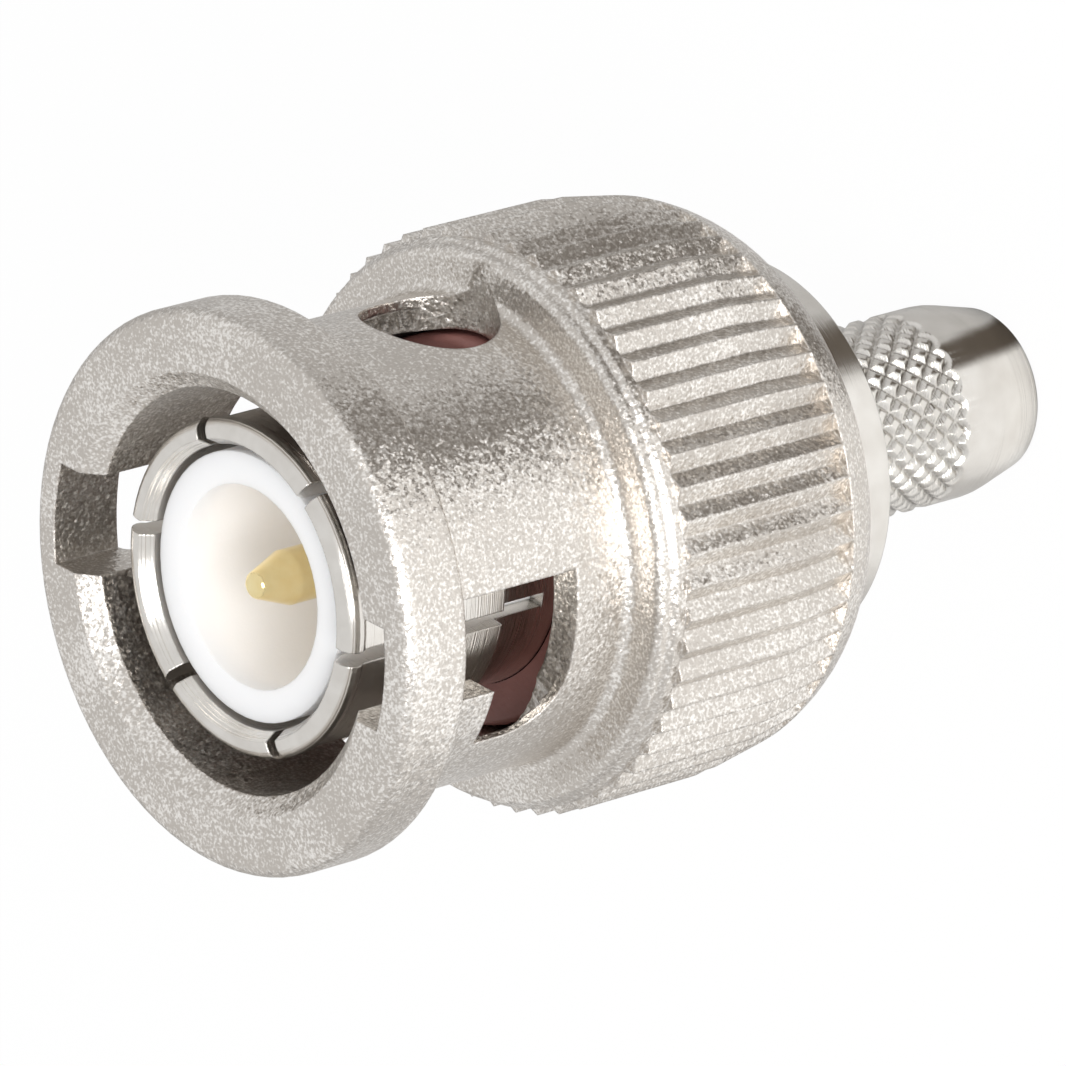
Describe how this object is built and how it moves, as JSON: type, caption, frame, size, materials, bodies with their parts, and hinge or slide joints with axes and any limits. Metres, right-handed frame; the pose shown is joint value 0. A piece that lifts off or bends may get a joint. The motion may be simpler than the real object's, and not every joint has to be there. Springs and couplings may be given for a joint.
{
  "type": "bnc connector",
  "caption": "Straight bayonet coaxial plug with a fluted turning sleeve, spring fingers, a gold centre pin and a knurled crimp neck for the cable.",
  "frame": {"origin": "centre of the crimp neck's end face, which the plug stands on", "axes": "+Z along the plug's axis, out of the mating face; +X out through one of the two entry slots"},
  "size_m": [0.0144, 0.0144, 0.0249],
  "materials": {
    "cast_nickel": "die cast, matte nickel plate",
    "nickel_plate": "turned brass, bright nickel plate",
    "white_insulator": "white fluoropolymer",
    "gold_plate": "gold-plated brass",
    "red_silicone": "red-brown silicone",
    "spring_steel": "bare spring steel"
  },
  "bodies": {
    "fixed": {"rear_body": "nickel_plate", "front_body": "nickel_plate", "spring_contact": "nickel_plate", "front_insulator": "white_insulator", "rear_insulator": "white_insulator", "center_pin": "gold_plate", "gasket": "red_silicone", "wave_washer_1": "spring_steel", "wave_washer_2": "spring_steel"},
    "thrust": {"thrust_washer": "spring_steel"},
    "sleeve": {"coupling_sleeve": "cast_nickel"}
  },
  "joints": [
    {"name": "sleeve_slide", "type": "slide", "parent": "fixed", "child": "thrust", "axis": [0, 0, 1], "range_m": [0, 0.0008], "stiffness_N_per_m": 5000, "springref_m": -0.0005, "deforming": ["wave_washer_1", "wave_washer_2"]},
    {"name": "sleeve_turn", "type": "hinge", "parent": "thrust", "child": "sleeve", "pos_m": [0, 0, 0.0119], "axis": [0, 0, 1], "continuous": true}
  ]
}
